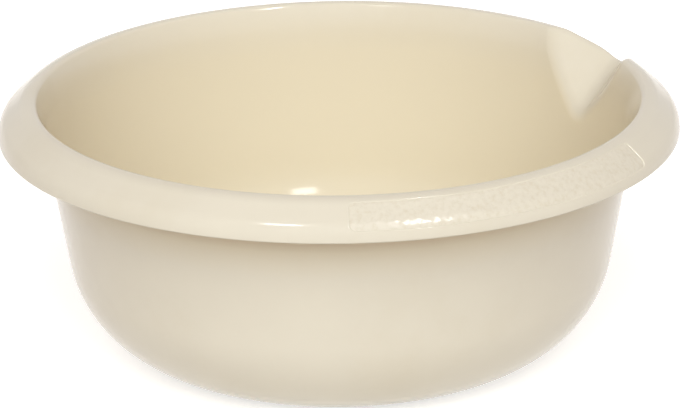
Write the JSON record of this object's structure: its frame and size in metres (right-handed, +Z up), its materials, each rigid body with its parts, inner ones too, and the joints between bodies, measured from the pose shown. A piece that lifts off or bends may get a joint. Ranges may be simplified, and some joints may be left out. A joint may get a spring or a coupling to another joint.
{
  "type": "washing up bowl",
  "caption": "Round washing up bowl with a turned-down rim, a V-shaped pouring spout and two pebbled grip panels on the rim.",
  "frame": {"origin": "middle of the flat face that the bowl stands on", "axes": "+Z up, +X towards the pouring spout, +Y towards the left grip panel"},
  "size_m": [0.3599, 0.36, 0.14],
  "materials": {
    "bowl_plastic": "cream polypropylene, smooth and glossy, a little translucent",
    "rim_plastic": "cream polypropylene, smooth and glossy",
    "grip_plastic": "cream polypropylene with a moulded pebble grain"
  },
  "bodies": {
    "root": {"base_panel": "bowl_plastic", "foot_ring": "bowl_plastic", "bowl_wall": "bowl_plastic", "rim_crown": "rim_plastic", "rim_skirt": "rim_plastic", "pouring_spout": "bowl_plastic", "grip_panel_right": "grip_plastic", "grip_panel_left": "grip_plastic"}
  },
  "joints": []
}
